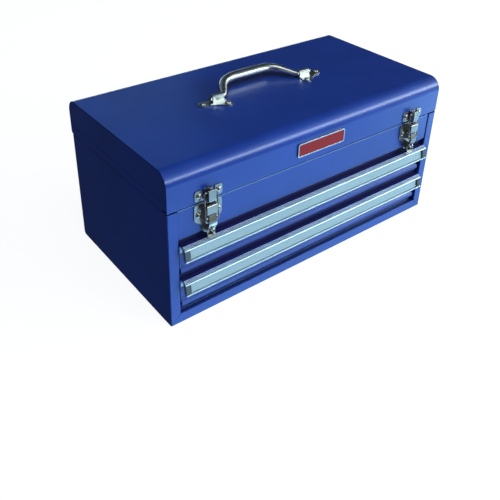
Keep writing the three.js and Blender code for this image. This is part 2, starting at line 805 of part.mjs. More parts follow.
const keeperHoles = SIDES.flatMap(([, side]) => frontHoles(latchRivets(side, KEEPER_RIVET_Z)));
const earPlaces = (side) => [OUTER_EAR, INNER_EAR].map(([x, y]) => [side * x, y]);
const earHoles = SIDES.flatMap(([, side]) => topHoles(earPlaces(side)));
add("lid_shell", cut(lidShell(), ...keeperHoles, ...earHoles), BLUE_PAINT);
for (const [name, side] of SIDES) add(name + "_lid_end_cap", lidEndCap(side), BLUE_PAINT);
add("blank_name_plate", namePlate(), RED_ENAMEL);

for (const [name, side] of SIDES) {
  add(name + "_latch_keeper", keeper(side), ZINC);
  add(name + "_latch_base", latchBase(side), ZINC);
  add(name + "_latch_lever", latchLever(side), ZINC);
  add(name + "_latch_pin", latchPin(side), ZINC);
  add(name + "_latch_loop", latchLoop(side), ZINC);
  latchRivets(side, KEEPER_RIVET_Z).forEach(([x, z], i) => {
    add(name + "_keeper_rivet_" + (i + 1), frontRivet(x, z, FRONT - 1.6, 3), ZINC);
  });
  latchRivets(side, BASE_RIVET_Z).forEach(([x, z], i) => {
    add(name + "_base_rivet_" + (i + 1), frontRivet(x, z, FRONT - 0.3, 3.4), ZINC);
  });
  add(name + "_handle_bracket", handleBracket(side), CHROME);
  earPlaces(side).forEach(([x, y], i) => {
    add(name + "_bracket_rivet_" + (i + 1), topRivet(x, y, BRACKET_TOP + 0.3, 3.4), CHROME);
  });
}
add("carry_handle", carryHandle(), CHROME);

[
  ["upper", LOWER_DRAWER_Z + DRAWER_PITCH],
  ["lower", LOWER_DRAWER_Z],
].forEach(([level, z0]) => {
  add(level + "_drawer_tray", drawerTray(z0), DARK_STEEL);
  add(level + "_drawer_front", drawerFront(z0), BLUE_PAINT);
  add(level + "_drawer_pull", drawerPull(z0), ALUMINIUM);
  add(level + "_pull_strip", labelStrip(z0), PALE_STRIP);
  for (const [name, side] of SIDES) {
    add(level + "_" + name + "_pull_cap", pullEndCap(z0, side), GREY_PLASTIC);
    add(level + "_" + name + "_drawer_rail", drawerRail(z0, side), DARK_STEEL);
    add(level + "_" + name + "_cabinet_slide", cabinetSlide(z0, side), DARK_STEEL);
  }
});

export default object;
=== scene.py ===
import math

import bmesh
import bpy
from mathutils import Matrix, Vector


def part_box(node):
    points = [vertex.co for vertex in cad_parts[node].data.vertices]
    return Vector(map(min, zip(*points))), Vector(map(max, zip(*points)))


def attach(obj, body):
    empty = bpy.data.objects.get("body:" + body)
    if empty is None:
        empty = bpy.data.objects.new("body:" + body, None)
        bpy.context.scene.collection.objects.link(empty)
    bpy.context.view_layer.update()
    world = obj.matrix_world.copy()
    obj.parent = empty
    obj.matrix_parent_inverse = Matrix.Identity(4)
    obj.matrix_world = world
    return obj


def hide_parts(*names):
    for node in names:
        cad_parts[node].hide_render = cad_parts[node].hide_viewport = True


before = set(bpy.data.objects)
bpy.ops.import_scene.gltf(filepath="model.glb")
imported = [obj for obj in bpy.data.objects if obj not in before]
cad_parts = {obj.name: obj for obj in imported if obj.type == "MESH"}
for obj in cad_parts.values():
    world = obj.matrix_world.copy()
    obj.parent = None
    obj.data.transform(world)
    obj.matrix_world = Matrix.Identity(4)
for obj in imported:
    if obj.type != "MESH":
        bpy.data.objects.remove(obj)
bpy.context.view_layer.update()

# A steel tool box. Lengths in this script are millimetres in the part's frame, and a mesh is turned
# into metres when it is finished. Places come from the CAD nodes' boxes. Materials, lamps and the
# camera are in metres.

MM = 0.001
SHEET = 0.8
SIDES = (("left", -1), ("right", 1))
LEVELS = ("upper", "lower")
# for each axis: the two axes across it, and the axis itself
AXES = {"x": (1, 2, 0), "y": (0, 2, 1), "z": (0, 1, 2)}


def span(node):
    """The lowest and highest corners of a CAD node, in millimetres."""
    low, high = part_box(node)
    return [v / MM for v in low], [v / MM for v in high]


def centre_of(node, axis):
    """The middle of a CAD node's box, seen along an axis."""
    low, high = span(node)
    first, second, _ = AXES[axis]
    return (low[first] + high[first]) / 2, (low[second] + high[second]) / 2


# ------------------------------------------------------------------ materials


def new_material(name):
    material = bpy.data.materials.new(name)
    material.use_nodes = True
    nodes = material.node_tree.nodes
    return material, nodes, material.node_tree.links, nodes["Principled BSDF"]


def noise(nodes, links, scale, detail=3.0, roughness=0.5, stretch=None):
    """A noise texture in object coordinates, where one unit is a metre."""
    place = nodes.new("ShaderNodeTexCoord")
    texture = nodes.new("ShaderNodeTexNoise")
    texture.inputs["Scale"].default_value = scale
    texture.inputs["Detail"].default_value = detail
    texture.inputs["Roughness"].default_value = roughness
    if stretch:
        mapping = nodes.new("ShaderNodeMapping")
        mapping.inputs["Scale"].default_value = stretch
        links.new(place.outputs["Object"], mapping.inputs["Vector"])
        links.new(mapping.outputs["Vector"], texture.inputs["Vector"])
    else:
        links.new(place.outputs["Object"], texture.inputs["Vector"])
    return texture.outputs["Fac"]


def ramp(nodes, links, value, stops):
    """A colour ramp over a value: stops are (position, colour)."""
    node = nodes.new("ShaderNodeValToRGB")
    elements = node.color_ramp.elements
    while len(elements) < len(stops):
        elements.new(0.5)
    for element, (position, colour) in zip(elements, stops):
        element.position = position
        element.color = (*colour, 1.0)
    links.new(value, node.inputs["Fac"])
    return node.outputs["Color"]


def spread(nodes, links, value, low, high, start=0.3, end=0.7):
    """A value between low and high, following another value between start and end."""
    node = nodes.new("ShaderNodeMapRange")
    node.inputs["From Min"].default_value = start
    node.inputs["From Max"].default_value = end
    node.inputs["To Min"].default_value = low
    node.inputs["To Max"].default_value = high
    links.new(value, node.inputs["Value"])
    return node.outputs["Result"]


def bump(nodes, links, shader, height, strength, distance):
    """Relief from a height between 0 and 1. The distance is its depth."""
    node = nodes.new("ShaderNodeBump")
    node.inputs["Strength"].default_value = strength
    node.inputs["Distance"].default_value = distance
    links.new(height, node.inputs["Height"])
    links.new(node.outputs["Normal"], shader.inputs["Normal"])


RECESS_REACH = 0.013
RECESS_SHADE = 0.3


def painted_recess_shade(nodes, links, colour):
    """The colour darkened where the surface lies in a recess: painted shade, from an ambient occlusion
    node.
    """
    shade = nodes.new("ShaderNodeAmbientOcclusion")
    shade.inputs["Distance"].default_value = RECESS_REACH
    shade.samples = 8
    dim = spread(nodes, links, shade.outputs["AO"], RECESS_SHADE, 1.0, 0.4, 0.92)
    mix = nodes.new("ShaderNodeMix")
    mix.data_type = "RGBA"
    mix.blend_type = "MULTIPLY"
    mix.inputs["Factor"].default_value = 1.0
    links.new(colour, mix.inputs["A"])
    links.new(dim, mix.inputs["B"])
    return mix.outputs["Result"]


def paint(name, colour, roughness=0.42, highlight_lift=1.0, wear=0.0, coat=0.85, shade_recesses=True):
    """Satin enamel: slow colour drift, orange peel, paler rubbed spots where wear is above zero, and
    painted shade that darkens its recesses. A lift above one makes it paler all over, a painted highlight.
    """
    material, nodes, links, shader = new_material(name)
    deep = tuple(c * 0.9 * highlight_lift for c in colour)
    pale = tuple(min(c * 1.1 * highlight_lift, 1.0) for c in colour)
    drift = ramp(nodes, links, noise(nodes, links, 9.0), [(0.3, deep), (0.7, pale)])
    if wear:
        rub = spread(nodes, links, noise(nodes, links, 60.0, 6.0, 0.7), 0.0, wear, 0.55, 0.75)
        mix = nodes.new("ShaderNodeMix")
        mix.data_type = "RGBA"
        links.new(rub, mix.inputs["Factor"])
        links.new(drift, mix.inputs["A"])
        mix.inputs["B"].default_value = (*[min(c * 1.8 + 0.1, 1.0) for c in colour], 1.0)
        drift = mix.outputs["Result"]
    # painted shade: the colour is darkened in recesses
    if shade_recesses:
        drift = painted_recess_shade(nodes, links, drift)
    links.new(drift, shader.inputs["Base Color"])
    gloss = spread(nodes, links, noise(nodes, links, 35.0, 4.0), roughness - 0.05, roughness + 0.05)
    links.new(gloss, shader.inputs["Roughness"])
    shader.inputs["Metallic"].default_value = 0.16
    shader.inputs["Coat Weight"].default_value = coat
    shader.inputs["Coat Roughness"].default_value = 0.21
    bump(nodes, links, shader, noise(nodes, links, 900.0, 2.0), strength=0.06, distance=0.0002)
    return material


def plating(name, colour, roughness, grain=0.08, scale=700.0, stretch=None):
    """Plated or bare metal: fine grain, slight tarnish and smudged gloss."""
    material, nodes, links, shader = new_material(name)
    shader.inputs["Metallic"].default_value = 1.0
    dull = tuple(c * 0.86 for c in colour)
    tint = ramp(nodes, links, noise(nodes, links, 45.0), [(0.3, dull), (0.65, colour)])
    links.new(tint, shader.inputs["Base Color"])
    gloss = spread(nodes, links, noise(nodes, links, 70.0, 2.0), roughness * 0.85, roughness * 1.2)
    links.new(gloss, shader.inputs["Roughness"])
    height = noise(nodes, links, scale, 1.0, 0.4, stretch)
    bump(nodes, links, shader, height, strength=grain, distance=0.00004)
    return material


def plastic(name, colour, roughness):
    """Plain plastic or a flat enamel, with a slight drift in its colour and its gloss."""
    material, nodes, links, shader = new_material(name)
    shader.inputs["Specular IOR Level"].default_value = 0.35
    deep = tuple(c * 0.93 for c in colour)
    tint = ramp(nodes, links, noise(nodes, links, 8.0, 1.0), [(0.2, deep), (0.8, colour)])
    links.new(tint, shader.inputs["Base Color"])
    gloss = spread(nodes, links, noise(nodes, links, 30.0, 1.0), roughness - 0.015, roughness + 0.02)
    links.new(gloss, shader.inputs["Roughness"])
    bump(nodes, links, shader, noise(nodes, links, 400.0, 1.0), strength=0.05, distance=0.00002)
    return material


BLUE = (0.016, 0.072, 0.51)
TRAY_BLUE = (0.022, 0.05, 0.25)
# rolled and drawn metal has its grain drawn out along y on the slides, and along x on the pulls
ALONG_Y = (1.0, 0.04, 1.0)
ALONG_X = (0.02, 1.0, 1.0)
MATERIALS = {
    "paint": paint("blue_enamel", BLUE),
    # softened edges: paler enamel, a painted highlight, with rubbed wear spots
    "paint_edge_highlight_and_wear": paint("blue_enamel_edge_highlight_and_wear", BLUE, 0.34, highlight_lift=1.5, wear=0.5),
    # the fold on the upper front panel's top edge: a lighter blue without recess shade, a painted
    # highlight
    "paint_fold_highlight": paint("blue_enamel_fold_highlight", (0.12, 0.25, 0.7), 0.35, shade_recesses=False),
    # dark navy for the upper wall behind each pull and the pull's flat rear: painted shade
    "paint_recess_shade": paint("blue_enamel_recess_shade", (0.018, 0.021, 0.27), 0.6, coat=0.25),
    "tray": paint("tray_enamel", TRAY_BLUE, 0.45),
    # the trays' softened edges: paler enamel, a painted highlight, with rubbed wear spots
    "tray_edge_highlight_and_wear": paint("tray_enamel_edge_highlight_and_wear", TRAY_BLUE, 0.4, highlight_lift=1.3, wear=0.3),
    "nickel": plating("nickel_plate", (0.56, 0.52, 0.48), 0.29, 0.02, 300.0),
    "chrome": plating("chrome_plate", (0.7, 0.71, 0.7), 0.3, 0.02, 300.0),
    "zinc": plating("zinc_plate", (0.55, 0.56, 0.58), 0.36, 0.1, 500.0),
    "slide": plating("rolled_slide_steel", (0.5, 0.51, 0.53), 0.34, 0.1, 300.0, ALONG_Y),
    "aluminium": plating("pull_aluminium", (0.8, 0.88, 0.92), 0.34, 0.1, 250.0, ALONG_X),
    "strip": plastic("pale_strip", (0.7, 0.92, 1.0), 0.24),
    "strip_line": plastic("pale_strip_line", (0.4, 0.62, 0.9), 0.35),
    # groove floors on the pulls' slopes: blue-grey, a painted reflection of the blue paint above
    "groove": plating("aluminium_blue_reflection", (0.26, 0.36, 0.66), 0.4, 0.05, 250.0, ALONG_X),
    "cap": plastic("grey_cap", (0.15, 0.19, 0.23), 0.5),
    "red": plastic("red_enamel", (0.5, 0.018, 0.02), 0.5),
    "rim": plating("bright_rim", (0.88, 0.86, 0.86), 0.22, 0.05),
}

# ------------------------------------------------------------------ outlines


def rectangle(a, b, inset=0.0):
    """The outline of a rectangle, from its (low, high) places on two axes."""
    a0, a1 = a[0] + inset, a[1] - inset
    b0, b1 = b[0] + inset, b[1] - inset
    return [(a0, b0), (a1, b0), (a1, b1), (a0, b1)]


def arc(centre, radius, start, end, steps=8):
    """Points on an arc, with its angles in degrees."""
    points = []
    for i in range(steps + 1):
        angle = math.radians(start + (end - start) * i / steps)
        points.append((centre[0] + radius * math.cos(angle), centre[1] + radius * math.sin(angle)))
    return points


def bezier(p0, p1, p2, p3, steps=10):
    """Points on a cubic curve, without its first point."""
    points = []
    for i in range(1, steps + 1):
        t = i / steps
        weights = ((1 - t) ** 3, 3 * t * (1 - t) ** 2, 3 * t * t * (1 - t), t ** 3)
        points.append(tuple(sum(w * p[k] for w, p in zip(weights, (p0, p1, p2, p3))) for k in (0, 1)))
    return points


# a corner's arc takes at most this share of the edges beside it
CORNER_SHARE = 0.48


def rounded(points, radius, steps=5, closed=False):
    """The run of points with its corners turned into arcs. radius is one number, or one a corner."""
    count = len(points)
    radii = radius if isinstance(radius, (list, tuple)) else [radius] * count
    result = []
    for i, point in enumerate(points):
        if (not closed and i in (0, count - 1)) or radii[i] <= 0:
            result.append(tuple(point))
            continue
        here = Vector(point)
        before = Vector(points[i - 1]) - here
        after = Vector(points[(i + 1) % count]) - here
        half_turn = before.angle(after) / 2
        reach = radii[i] / math.tan(half_turn)
        reach = min(reach, before.length * CORNER_SHARE, after.length * CORNER_SHARE)
        size = reach * math.tan(half_turn)
        inward = (before.normalized() + after.normalized()).normalized()
        middle = here + inward * (size / math.sin(half_turn))
        first = here + before.normalized() * reach - middle
        last = here + after.normalized() * reach - middle
        sweep = first.angle(last)
        for k in range(steps + 1):
            t = k / steps
            if sweep < 1e-4:
                mixed = first.lerp(last, t)
            else:
                mixed = (first * math.sin((1 - t) * sweep) + last * math.sin(t * sweep)) / math.sin(sweep)
            result.append(tuple(middle + mixed))
    return result


def sheet_section(points, thickness=SHEET):
    """The closed section of a bent sheet: a run of points, and the same run set off to its right."""
    offset = []
    for i, point in enumerate(points):
        before = Vector(points[max(i - 1, 0)])
        after = Vector(points[min(i + 1, len(points) - 1)])
        here = Vector(point)
        runs = [run for run in (here - before, after - here) if run.length > 1e-6]
        normals = [Vector((run.y, -run.x)).normalized() for run in runs]
        mean = sum(normals, Vector((0, 0))).normalized()
        reach = thickness / max(mean.dot(normals[0]), 0.3)
        offset.append(tuple(here + mean * reach))
    return list(points) + offset[::-1]


def facing(points, side):
    """An outline that is given for the right side, as it lies on this side."""
    return [(side * a, b) for a, b in points]


def ends(side, near, far, middle=0.0):
    """The low and high ends of a stretch that lies to one side of a middle."""
    return sorted((middle + side * near, middle + side * far))


def smooth_route(points, steps=6):
    """A Catmull-Rom curve through points, each a tuple of the same length."""
    result = []
    for i in range(len(points) - 1):
        p0 = Vector(points[max(i - 1, 0)])
        p1, p2 = Vector(points[i]), Vector(points[i + 1])
        p3 = Vector(points[min(i + 2, len(points) - 1)])
        for k in range(steps):
            t = k / steps
            a = p1 * 2 + (p2 - p0) * t + (p0 * 2 - p1 * 5 + p2 * 4 - p3) * t ** 2
            result.append(tuple((a + (p1 * 3 - p0 - p2 * 3 + p3) * t ** 3) / 2))
    result.append(tuple(points[-1]))
    return result


# ------------------------------------------------------------------ mesh building


def loft(axis, sections):
    """A solid along an axis through sections of (place, closed outline), all with as many points."""
    first, second, along = AXES[axis]
    bm = bmesh.new()
    rings = []
    for level, points in sections:
        ring = []
        for a, b in points:
            place = [0.0, 0.0, 0.0]
            place[first], place[second], place[along] = a, b, level
            ring.append(bm.verts.new(place))
        rings.append(ring)
    bm.faces.new(rings[0])
    bm.faces.new(rings[-1])
    count = len(rings[0])
    for one, two in zip(rings, rings[1:]):
        for i in range(count):
            j = (i + 1) % count
            bm.faces.new((one[i], one[j], two[j], two[i]))
    bmesh.ops.recalc_face_normals(bm, faces=bm.faces)
    return bm


def prism(points, axis, low, high):
    """A closed outline carried along an axis, from low to high."""
    return loft(axis, [(low, points), (high, points)])


def block(x, y, z):
    return prism(rectangle(x, y), "z", *z)


def disc(axis, centre, radius, low, high, sides=32):
    return prism(arc(centre, radius, 0, 360 - 360 / sides, sides - 1), axis, low, high)


WELD = 1e-4
FLAT = math.radians(0.3)


def combine(first, *others, how="UNION"):
    """The union, difference or intersection of meshes, with Blender's exact boolean."""
    result = first
    for other in others:
        pair = []
        for bm in (result, other):
            mesh = bpy.data.meshes.new("part")
            bm.to_mesh(mesh)
            bm.free()
            obj = bpy.data.objects.new("part", mesh)
            bpy.context.collection.objects.link(obj)
            pair.append(obj)
        modifier = pair[0].modifiers.new("boolean", "BOOLEAN")
        modifier.operation = how
        modifier.solver = "EXACT"
        modifier.object = pair[1]
        evaluated = pair[0].evaluated_get(bpy.context.evaluated_depsgraph_get())
        result = bmesh.new()
        result.from_mesh(evaluated.to_mesh())
        for obj in pair:
            mesh = obj.data
            bpy.data.objects.remove(obj)
            bpy.data.meshes.remove(mesh)
        bmesh.ops.remove_doubles(result, verts=result.verts, dist=WELD)
        bmesh.ops.dissolve_limit(result, angle_limit=FLAT, verts=result.verts, edges=result.edges)
    return result


def without(first, *others):
    return combine(first, *others, how="DIFFERENCE")


def joined(parts):
    """One mesh that holds all the parts, which stay apart in it."""
    result = bmesh.new()
    for part in parts:
        mesh = bpy.data.meshes.new("part")
        part.to_mesh(mesh)
        part.free()
        result.from_mesh(mesh)
        bpy.data.meshes.remove(mesh)
    return result


def tube(points, radii, sides=16, closed=False):
    """A round bar through points. radii is one number, or one a point."""
    centres = [Vector(p) for p in points]
    count = len(centres)
    sizes = radii if isinstance(radii, (list, tuple)) else [radii] * count
    bm = bmesh.new()
    rings = []
    side = None
    for i, centre in enumerate(centres):
        before = centres[i - 1] if closed or i else centre
        after = centres[(i + 1) % count] if closed or i < count - 1 else centre
        tangent = (after - before).normalized()
        if side is None:
            reference = Vector((0, 0, 1)) if abs(tangent.z) < 0.9 else Vector((0, 1, 0))
            side = tangent.cross(reference).normalized()
        side = (side - tangent * side.dot(tangent)).normalized()
        up = side.cross(tangent)
        ring = []
        for k in range(sides):
            angle = 2 * math.pi * k / sides
            across = side * (math.cos(angle) * sizes[i])
            ring.append(bm.verts.new(centre + across + up * (math.sin(angle) * sizes[i])))
        rings.append(ring)
    last = count if closed else count - 1
    for i in range(last):
        one, two = rings[i], rings[(i + 1) % count]
        for k in range(sides):
            m = (k + 1) % sides
            bm.faces.new((one[k], one[m], two[m], two[k]))
    if not closed:
        bm.faces.new(rings[0])
        bm.faces.new(rings[-1])
    bmesh.ops.recalc_face_normals(bm, faces=bm.faces)
    return bm


def turned(profile, axis, centre, direction=1, sides=32):
    """A profile of (radius, height) turned round an axis. It starts and ends on the axis."""
    first, second, along = AXES[axis]
    bm = bmesh.new()
    rings = []
    for radius, height in profile:
        ring = []
        for k in range(sides if radius > 0 else 1):
            angle = 2 * math.pi * k / sides
            place = list(centre)
            place[first] += radius * math.cos(angle)
            place[second] += radius * math.sin(angle)
            place[along] += direction * height
            ring.append(bm.verts.new(place))
        rings.append(ring)
    for one, two in zip(rings, rings[1:]):
        for k in range(sides):
            m = (k + 1) % sides
            corners = [one[k % len(one)], one[m % len(one)], two[m % len(two)], two[k % len(two)]]
            unique = []
            for corner in corners:
                if corner not in unique:
                    unique.append(corner)
            if len(unique) > 2:
                bm.faces.new(unique)
    bmesh.ops.recalc_face_normals(bm, faces=bm.faces)
    return bm


# ------------------------------------------------------------------ pieces

EDGE, INLAY = 1, 2


def piece(name, bm, body, slot, finish, replaces=(), edge=None, inlays=(),
          bevel=0.3, segments=2, angle=35.0):
    """Makes the mesh an object in metres, softens its edges, attaches it to its body and hides the CAD
    nodes it replaces.

    The edge finish lies on the softened edges, and the inlays on the faces marked INLAY and up.
    """
    bmesh.ops.scale(bm, vec=(MM, MM, MM), verts=bm.verts)
    bmesh.ops.remove_doubles(bm, verts=bm.verts, dist=WELD * MM)
    limit = math.radians(angle)
    for face in bm.faces:
        face.smooth = True
    mesh = bpy.data.meshes.new(name)
    bm.to_mesh(mesh)
    bm.free()
    obj = bpy.data.objects.new(name, mesh)
    bpy.context.collection.objects.link(obj)
    for key in (finish, edge or finish, *inlays):
        mesh.materials.append(MATERIALS[key])
    if bevel:
        modifier = obj.modifiers.new("soft_edges", "BEVEL")
        modifier.width = bevel * MM
        modifier.segments = segments
        modifier.limit_method = "ANGLE"
        modifier.angle_limit = limit
        modifier.use_clamp_overlap = True
        # the edge finish goes on the bevel faces; on enamel it is paler, a painted highlight with wear
        if edge:
            modifier.material = EDGE
    else:
        mesh.set_sharp_from_angle(angle=limit)
    normals = obj.modifiers.new("even_normals", "WEIGHTED_NORMAL")
    normals.keep_sharp = True
    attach(obj, body)
    if replaces:
        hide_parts(*replaces)


def skin(node, bm, body, slot, finish, **look):
    """The piece that takes one CAD node's place."""
    piece(node + "_skin", bm, body, slot, finish, (node,), **look)


def painted(node, bm, body, bevel, **look):
    skin(node, bm, body, "blue_paint", "paint", edge="paint_edge_highlight_and_wear", bevel=bevel, **look)


def latch_plated(node, bm, body, **look):
    skin(node, bm, body, "latch_steel", "nickel", **look)


def chromed(node, bm, body, **look):
    skin(node, bm, body, "handle_chrome", "chrome", **look)


# ------------------------------------------------------------------ driving places, from the CAD

side_low, side_high = span("right_side_panel")
HALF = side_high[0]
STILE_IN = side_low[0]
FRONT = side_low[1]
BACK = side_high[1]
SEAM = side_high[2]
lid_low, lid_high = span("lid_shell")
LID_HALF = lid_high[0]
LID_BACK = lid_high[1]
LID_TOP = lid_high[2]
LID_BOTTOM = lid_low[2]

# how far a cutter reaches past what it cuts
PAST = 5.0
MITRE_GAP = 0.35
CORNER = 5.0
BACK_CORNER = arc((BACK - CORNER, CORNER), CORNER, 0, -90, 8)


def out(points):
    """Points given as (distance behind the front plane, height), as they lie in the part's frame."""
    return [(FRONT + a, b) for a, b in points]


# ------------------------------------------------------------------ rivets and pins

DOME_HEIGHT = 2.3
SHANK = 1.7
DOME = [
    (0, DOME_HEIGHT), (1.0, 2.24), (2.0, 2.0), (2.9, 1.55), (3.6, 0.95),
    (4.05, 0.45), (4.2, 0.12), (4.15, 0), (SHANK, 0),
]
RIVET_HOLE = 2.0
# for each kind of rivet: its axis, its body and its finish
RIVET_KINDS = {
    "keeper": ("y", "lid", latch_plated),
    "base": ("y", "cabinet", latch_plated),
    "bracket": ("z", "lid", chromed),
}
PIN_RADIUS = 1.2
PIN_CHAMFER = 0.35


def rivet_holes(name, kind, low, high):
    """Cutters for the two rivets that hold a part of this kind on one side of the box."""
    axis = RIVET_KINDS[kind][0]
    nodes = [f"{name}_{kind}_rivet_{i}" for i in (1, 2)]
    return [disc(axis, centre_of(node, axis), RIVET_HOLE, low, high, 20) for node in nodes]


def rivet(node, axis, body, finished):
    """A domed rivet on the front or the top. Its shank ends flush behind the sheet."""
    low, high = span(node)
    along = AXES[axis][2]
    if axis == "y":
        outward, head, tail = -1, low[along], high[along]
    else:
        outward, head, tail = 1, high[along], low[along]
    seat = [(a + b) / 2 for a, b in zip(low, high)]
    seat[along] = head - outward * DOME_HEIGHT
    depth = outward * (tail - seat[along])
    profile = DOME + [(SHANK, depth), (0, depth)]
    finished(node, turned(profile, axis, seat, outward), body, bevel=0, angle=50)


def rivets():
    for name, _ in SIDES:
        for kind, (axis, body, finished) in RIVET_KINDS.items():
            for i in (1, 2):
                rivet(f"{name}_{kind}_rivet_{i}", axis, body, finished)


def pin(node, slot, finish, tip):
    """A pin along x in the cabinet. Its chamfered ends narrow to the tip's radius."""
    low, high = span(node)
    length = high[0] - low[0]
    profile = [
        (0, 0), (tip, 0), (PIN_RADIUS, PIN_CHAMFER),
        (PIN_RADIUS, length - PIN_CHAMFER), (tip, length), (0, length),
    ]
    bm = turned(profile, "x", (low[0], *centre_of(node, "x")), sides=20)
    skin(node, bm, "cabinet", slot, finish, bevel=0)


# ------------------------------------------------------------------ cabinet

STILE_FLANGE = 12
STILE_NOTCH = 1.8
REAR_FLANGE = 13
RAIL_TOP = 15.3
PAN_LIP_TOP = 20.4
PANEL_FOLD = 1.3


def side_panel(name, side):
    run = [(STILE_IN, FRONT + STILE_FLANGE), (STILE_IN, FRONT), (HALF, FRONT), (HALF, BACK)]
    wall = rounded(run, [0, 1.0, 1.5, 0], 6)
    shell = prism(facing(sheet_section(wall[::-1]), side), "z", 0.0, SEAM)
    # the stile stops short of the top edge, and meets the bottom rail in a mitre
    stop = SEAM - SHEET
    wall_in = HALF - SHEET - 0.2
    top_cut = [
        (STILE_IN - PAST, stop - STILE_NOTCH),
        (STILE_IN, stop - STILE_NOTCH),
        (STILE_IN + STILE_NOTCH, stop),
        (wall_in, stop),
        (wall_in, SEAM + PAST),
        (STILE_IN - PAST, SEAM + PAST),
    ]
    reach = (HALF + PAST, STILE_IN - 3)
    mitre = [(x, HALF - x + MITRE_GAP) for x in reach] + [(x, -20) for x in reach[::-1]]
    stile_y = (FRONT - PAST, FRONT + STILE_FLANGE + 2)
    corner = [(BACK + 3, -3), (BACK + 3, CORNER), *BACK_CORNER, (BACK - CORNER, -3)]
    shell = without(
        shell,
        prism(facing(top_cut, side), "y", *stile_y),
        prism(facing(mitre, side), "y", *stile_y),
        prism(corner, "x", *ends(side, HALF - 3, HALF + 3)),
    )
    # a flange inside the back edge
    flange_x = ends(side, HALF - REAR_FLANGE, HALF - SHEET / 2)
    flange = block(flange_x, (BACK - 4.4, BACK - 3.6), (8, SEAM - 5))
    painted(name + "_side_panel", combine(shell, flange), "cabinet", 0.28)


def bottom_pan():
    half = span("bottom_pan")[1][0]
    back = [(BACK, PAN_LIP_TOP), *BACK_CORNER]
    rail = [(BACK - 20, 0), (FRONT, 0), (FRONT, RAIL_TOP), (FRONT + 9, RAIL_TOP)]
    front = rounded(rail, [0, 0.9, 1.1, 0], 5)
    pan = prism(sheet_section(back + front[1:]), "x", -half, half)
    # the rail's ends are mitred, and its ledge stops between the stiles
    ledge = STILE_IN - MITRE_GAP
    tip = half + PAST
    cut = [(tip, HALF - tip), (ledge, HALF - ledge - MITRE_GAP), (ledge, 40), (tip, 40)]
    pan = without(pan, *[prism(facing(cut, side), "y", FRONT - PAST, FRONT + 20) for side in (-1, 1)])
    # an upstand along the ledge's back edge reaches up to just below the lower drawer
    stand, foot = FRONT + 7.8, RAIL_TOP - 0.1
    upstand = rounded([(FRONT + 3, foot), (stand, foot), (stand, 24)], 0.8, 4)
    pan = combine(pan, prism(sheet_section(upstand), "x", 2 - ledge, ledge - 2))
    painted("bottom_pan", pan, "cabinet", 0.25)


def upper_front_panel():
    low, high = span("upper_front_panel")
    front, rear = low[1], high[1]
    run = [(rear, low[2]), (front, low[2]), (front, high[2]), (rear, high[2])]
    panel = prism(sheet_section(rounded(run, [0, 1.0, PANEL_FOLD, 0], 6)), "x", low[0], high[0])
    for name, _ in SIDES:
        panel = without(panel, *rivet_holes(name, "base", front - 2, front + 3))
    # the rounded fold along the top edge takes the lighter blue: a painted highlight
    for face in panel.faces:
        if face.calc_center_median().z > high[2] - PANEL_FOLD and abs(face.normal.y) > 0.2:
            face.material_index = INLAY
    painted("upper_front_panel", panel, "cabinet", 0.2, inlays=("paint_fold_highlight",))


def back_panel():
    low, high = span("back_panel")
    # the lower edge steps in behind the pan's lip
    behind = BACK - SHEET - 0.4
    run = [(BACK, high[2]), (BACK, PAN_LIP_TOP + 2.4), (behind, PAN_LIP_TOP + 0.6), (behind, low[2])]
    panel = prism(sheet_section(rounded(run, [0, 1.2, 1.2, 0], 4)), "x", low[0], high[0])
    # three long pressed ribs stiffen the back
    ribs = []
    for x in (-150, 0, 150):
        rib = rounded(rectangle((x - 6, x + 6), (45, 140)), 5.9, 6, closed=True)
        ribs.append(prism(rib, "y", BACK - 0.35, BACK + 1))
    painted("back_panel", without(panel, *ribs), "cabinet", 0.2)


def compartment_floor():
    low, high = span("compartment_floor")
    # the front corners are notched round the stiles
    notch_x, notch_y = STILE_IN - 0.4, FRONT + STILE_FLANGE + 0.4
    right = [(notch_x, low[1]), (notch_x, notch_y), (high[0], notch_y), (high[0], high[1])]
    edge = right + facing(right, -1)[::-1]
    painted("compartment_floor", prism(edge, "z", low[2], high[2]), "cabinet", 0.2)


# ------------------------------------------------------------------ piano hinge

KNUCKLES = 9
KNUCKLE_RADIUS = 2.75
KNUCKLE_GAP = 0.4
LEAF_INSET = 2
LEAF_FACE = BACK + 1.3
HINGE_RIVET_HEAD = [(0, 0.9), (1.4, 0.75), (2.3, 0.3), (2.5, 0), (2.5, -0.2), (0, -0.2)]


def hinge():
    centre = centre_of("hinge_pin", "x")
    half = span("hinge_pin")[1][0]
    step = 2 * half / KNUCKLES
    leaf_x = (LEAF_INSET - half, half - LEAF_INSET)
    # node, body, first knuckle, depth, heights of the leaf, heights of the tabs on its knuckles
    leaves = (
        ("body_hinge_leaf", "cabinet", 0, (BACK + 0.3, LEAF_FACE), (158, 176.6), (176, 180.4)),
        ("lid_hinge_leaf", "lid", 1, (centre[0] + 0.2, centre[0] + 1.2), (183.4, 200), (181.8, 184)),
    )
    for node, body, first, y, z, tab_z in leaves:
        leaf = block(leaf_x, y, z)
        for i in range(first, KNUCKLES, 2):
            x0 = -half + i * step + KNUCKLE_GAP
            x1 = x0 + step - 2 * KNUCKLE_GAP
            tab = block((max(x0, leaf_x[0]), min(x1, leaf_x[1])), y, tab_z)
            leaf = combine(leaf, tab, disc("x", centre, KNUCKLE_RADIUS, x0, x1, 28))
        leaf = without(leaf, disc("x", centre, 1.5, -half - PAST, half + PAST, 20))
        skin(node, leaf, body, "hinge_steel", "zinc", bevel=0.2)
    pin("hinge_pin", "hinge_steel", "zinc", 0.9)
    # small rivet heads hold the cabinet leaf to the back panel
    places = [(-half + (i + 0.5) * step, LEAF_FACE, 166) for i in range(KNUCKLES)]
    heads = joined([turned(HINGE_RIVET_HEAD, "y", place, sides=20) for place in places])
    piece("body_hinge_rivets", heads, "cabinet", "hinge_steel", "zinc", bevel=0)


# ------------------------------------------------------------------ lid

